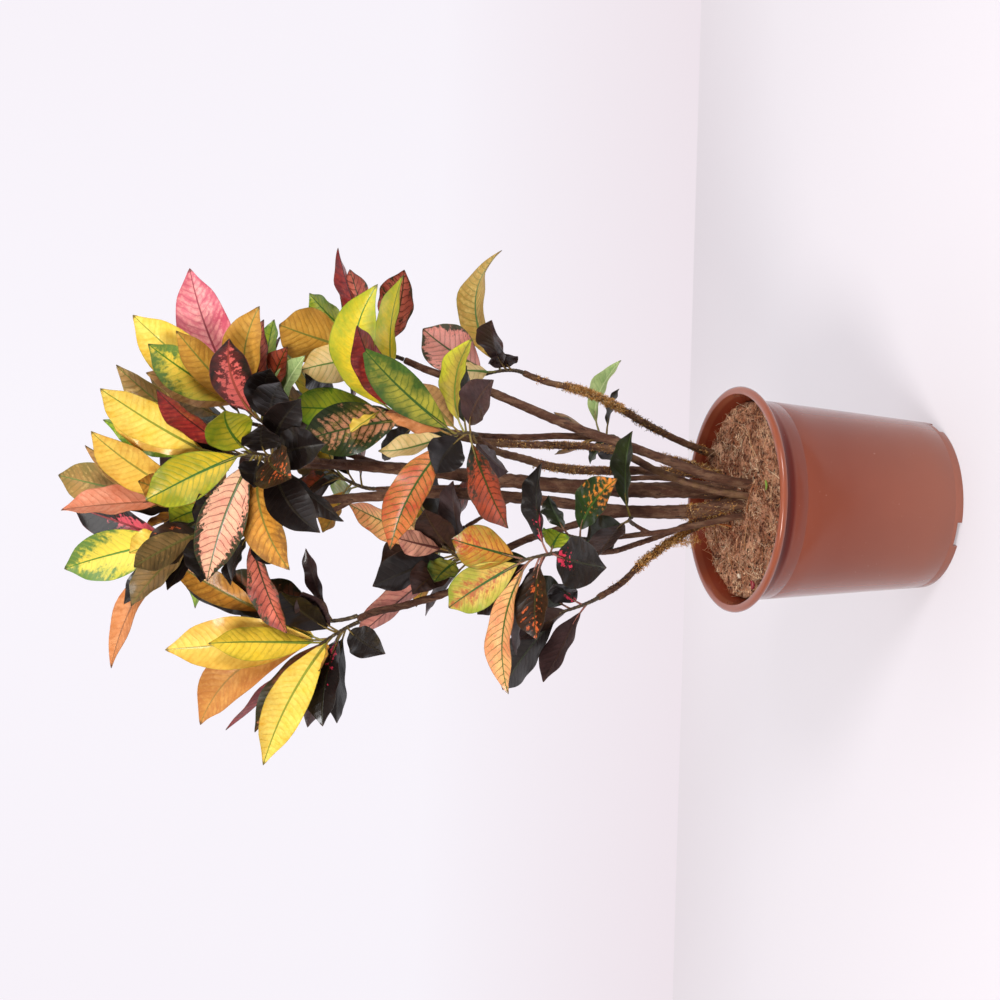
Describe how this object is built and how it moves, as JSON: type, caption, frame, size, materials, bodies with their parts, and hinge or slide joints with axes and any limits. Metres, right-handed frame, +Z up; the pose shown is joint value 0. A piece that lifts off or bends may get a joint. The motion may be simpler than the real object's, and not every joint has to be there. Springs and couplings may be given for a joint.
{
  "type": "potted croton",
  "caption": "Tall house plant with several woody stems ending in heads of broad multicoloured leaves, in a round terracotta coloured plastic nursery pot filled with soil.",
  "frame": {"origin": "centre of the foot of the pot, on the plane that the pot stands on, within a few millimetres of the middle of the whole plant's box seen from above", "axes": "+Z up along the pot's axis and the plant's height; the front, which is the side in the picture, looks along -Y; +X is to the right seen from the front"},
  "size_m": [0.59, 0.4005, 1.05],
  "materials": {
    "pot_plastic": "satin moulded plastic, terracotta brown, with a soft sheen",
    "potting_soil": "loose dry coir and peat, matte, brown with pale fibres",
    "bark": "thin grey-brown bark with low ridges and leaf scars",
    "mossy_bark": "brown bark with dry ochre moss on it",
    "leaf": "leathery leaf with a waxy sheen; yellow, orange, pink, red, green and nearly black patterns between the veins"
  },
  "bodies": {
    "root": {"pot": "pot_plastic", "soil": "potting_soil", "stem_outer_left": "mossy_bark", "stem_left_front": "bark", "stem_left_inner": "bark", "stem_thick_left": "bark", "stem_thick_centre": "bark", "stem_behind": "bark", "stem_mossy_left": "mossy_bark", "stem_mossy_right": "mossy_bark", "stem_back_right": "bark", "stem_leaning": "bark", "stem_outer_right": "mossy_bark", "head_centre_front": "leaf", "head_left_top": "leaf", "head_right_front": "leaf", "head_left_front": "leaf", "head_right_mid_front": "leaf", "head_crown_yellow": "leaf", "head_crown_left": "leaf", "head_crown_right": "leaf", "head_crown_back": "leaf", "head_right_mid": "leaf", "head_right_low": "leaf", "head_left_mid": "leaf", "head_left_low": "leaf", "head_left_upper": "leaf", "head_centre_left": "leaf", "head_low_centre": "leaf", "head_low_front": "leaf", "head_low_back": "leaf", "head_back_crown_left": "leaf", "head_back_crown_right": "leaf", "head_back_centre": "leaf", "head_back_right": "leaf", "head_back_left": "leaf"}
  },
  "joints": []
}
